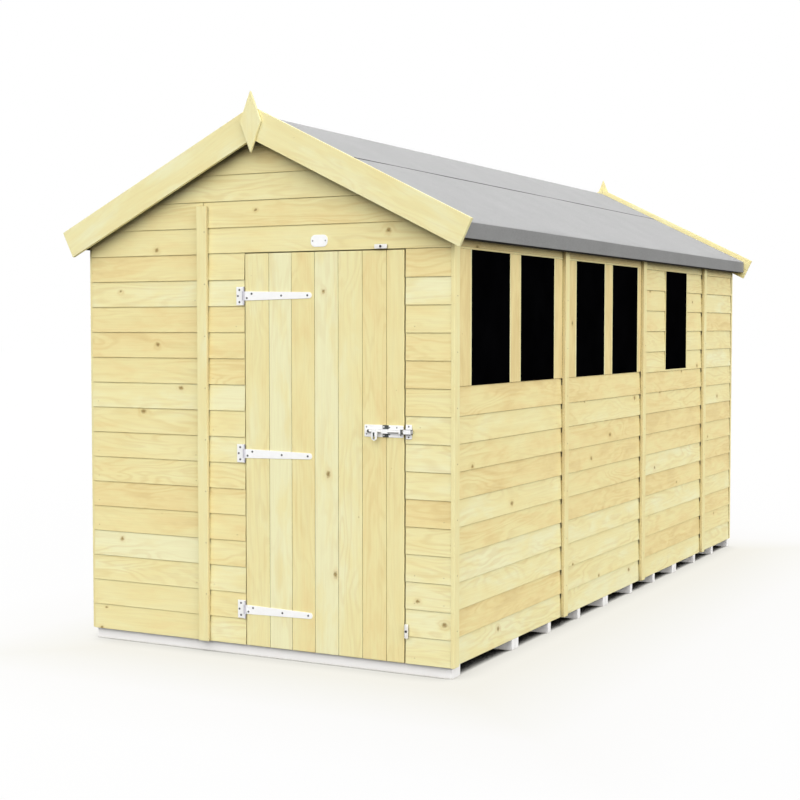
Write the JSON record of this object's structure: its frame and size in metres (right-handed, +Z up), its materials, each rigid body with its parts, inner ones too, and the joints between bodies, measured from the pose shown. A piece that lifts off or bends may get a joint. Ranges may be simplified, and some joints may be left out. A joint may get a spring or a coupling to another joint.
{
  "type": "apex shed",
  "caption": "Timber apex shed with lapped-board walls, a ledged door in the gable on T hinges, windows along one wall, a felted roof, bargeboards and diamond finials.",
  "frame": {"origin": "on the ground under the middle of the shed, at the bottom centre of its bounding box", "axes": "+Z up, the door gable faces -Y, the ridge runs along Y, the window wall faces +X"},
  "size_m": [2.0288, 4.324, 2.403],
  "materials": {
    "cladding_timber": "sawn softwood, pale dip treatment",
    "trim_timber": "planed softwood, pale dip treatment",
    "framing_timber": "sawn softwood",
    "bearer_timber": "sawn softwood, weathered pale",
    "sheet_timber": "pressed board",
    "turn_button_timber": "planed, pale",
    "roofing_felt": "mineral-faced bitumen sheet",
    "glazing": "clear, dark from outside",
    "door_hardware": "pale zinc or white coat"
  },
  "bodies": {
    "shed": {"floor_deck": "sheet_timber", "floor_bearers": "bearer_timber", "front_left_cladding": "cladding_timber", "front_over_door_cladding": "cladding_timber", "front_gable_cladding": "cladding_timber", "front_hinge_side_cladding": "cladding_timber", "front_lock_side_cladding": "cladding_timber", "back_cladding": "cladding_timber", "back_gable_cladding": "cladding_timber", "left_cladding": "cladding_timber", "right_lower_cladding": "cladding_timber", "window_boards": "trim_timber", "window_heads": "trim_timber", "right_third_cladding": "cladding_timber", "right_fourth_cladding": "cladding_timber", "wall_rails": "framing_timber", "wall_studs": "framing_timber", "window_rails": "framing_timber", "cover_strips": "trim_timber", "ridge_beam": "framing_timber", "purlins": "framing_timber", "gable_frames": "framing_timber", "roof_boards": "sheet_timber", "eaves_boards": "trim_timber", "gable_battens": "framing_timber", "front_bargeboards": "trim_timber", "back_bargeboards": "trim_timber", "finials": "trim_timber", "door_stops": "framing_timber", "roof_felt": "roofing_felt", "ridge_felt": "roofing_felt", "window_panes": "glazing", "hinge_plates": "door_hardware", "bolt_keeper": "door_hardware", "button_screws": "door_hardware"},
    "door": {"door_leaf": "trim_timber", "door_ledges": "framing_timber", "door_braces": "framing_timber", "hinge_straps": "door_hardware", "bolt_plate": "door_hardware"},
    "bolt": {"bolt_bar": "door_hardware"},
    "top_button": {"top_turn_button": "turn_button_timber"},
    "lower_button": {"lower_turn_button": "turn_button_timber"}
  },
  "joints": [
    {"name": "door_swing", "type": "hinge", "parent": "shed", "child": "door", "pos_m": [-0.0795, -2.0985, 0.878], "axis": [0, 0, -1], "range_deg": [0, 170]},
    {"name": "bolt_slide", "type": "slide", "parent": "door", "child": "bolt", "axis": [1, 0, 0], "range_m": [0, 0.03]},
    {"name": "top_button_turn", "type": "hinge", "parent": "shed", "child": "top_button", "pos_m": [0.587, -2.1005, 1.74425], "axis": [0, 1, 0], "continuous": true},
    {"name": "lower_button_turn", "type": "hinge", "parent": "shed", "child": "lower_button", "pos_m": [0.70375, -2.1005, 0.1815], "axis": [0, 1, 0], "continuous": true}
  ]
}
